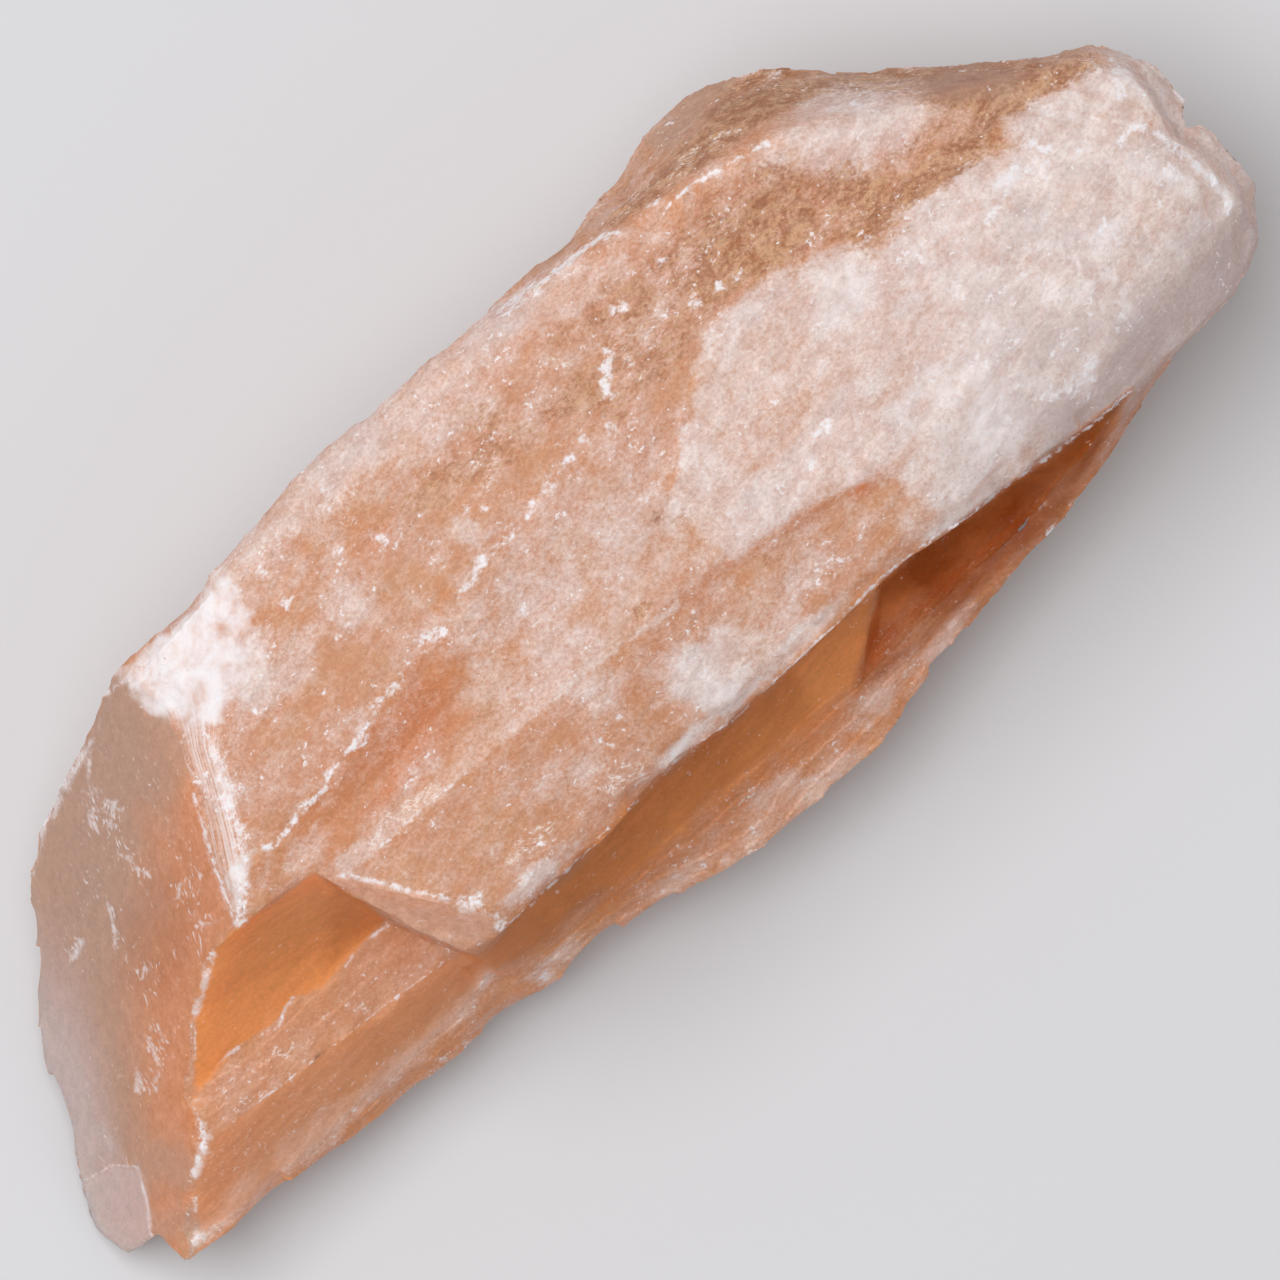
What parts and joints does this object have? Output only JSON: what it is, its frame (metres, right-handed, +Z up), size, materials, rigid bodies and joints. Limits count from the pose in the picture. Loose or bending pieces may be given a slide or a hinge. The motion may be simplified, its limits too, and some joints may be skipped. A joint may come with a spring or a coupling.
{
  "type": "rough calcite",
  "caption": "Elongated rough block of orange calcite with a slanted cleaved end, a stepped recess under one long edge and a flat spot to rest on.",
  "frame": {"origin": "middle of the stone's box, at the table under the flat resting spot", "axes": "+X along the stone from the slanted cleaved end to the blunt head, +Y towards the high back edge, +Z up out of the frosted upper face"},
  "size_m": [0.0962, 0.0372, 0.0285],
  "materials": {
    "calcite": "milky translucent orange calcite: sugary frosted upper face, smoother cleaved faces, white bruised edges"
  },
  "bodies": {
    "root": {"calcite": "calcite"}
  },
  "joints": []
}
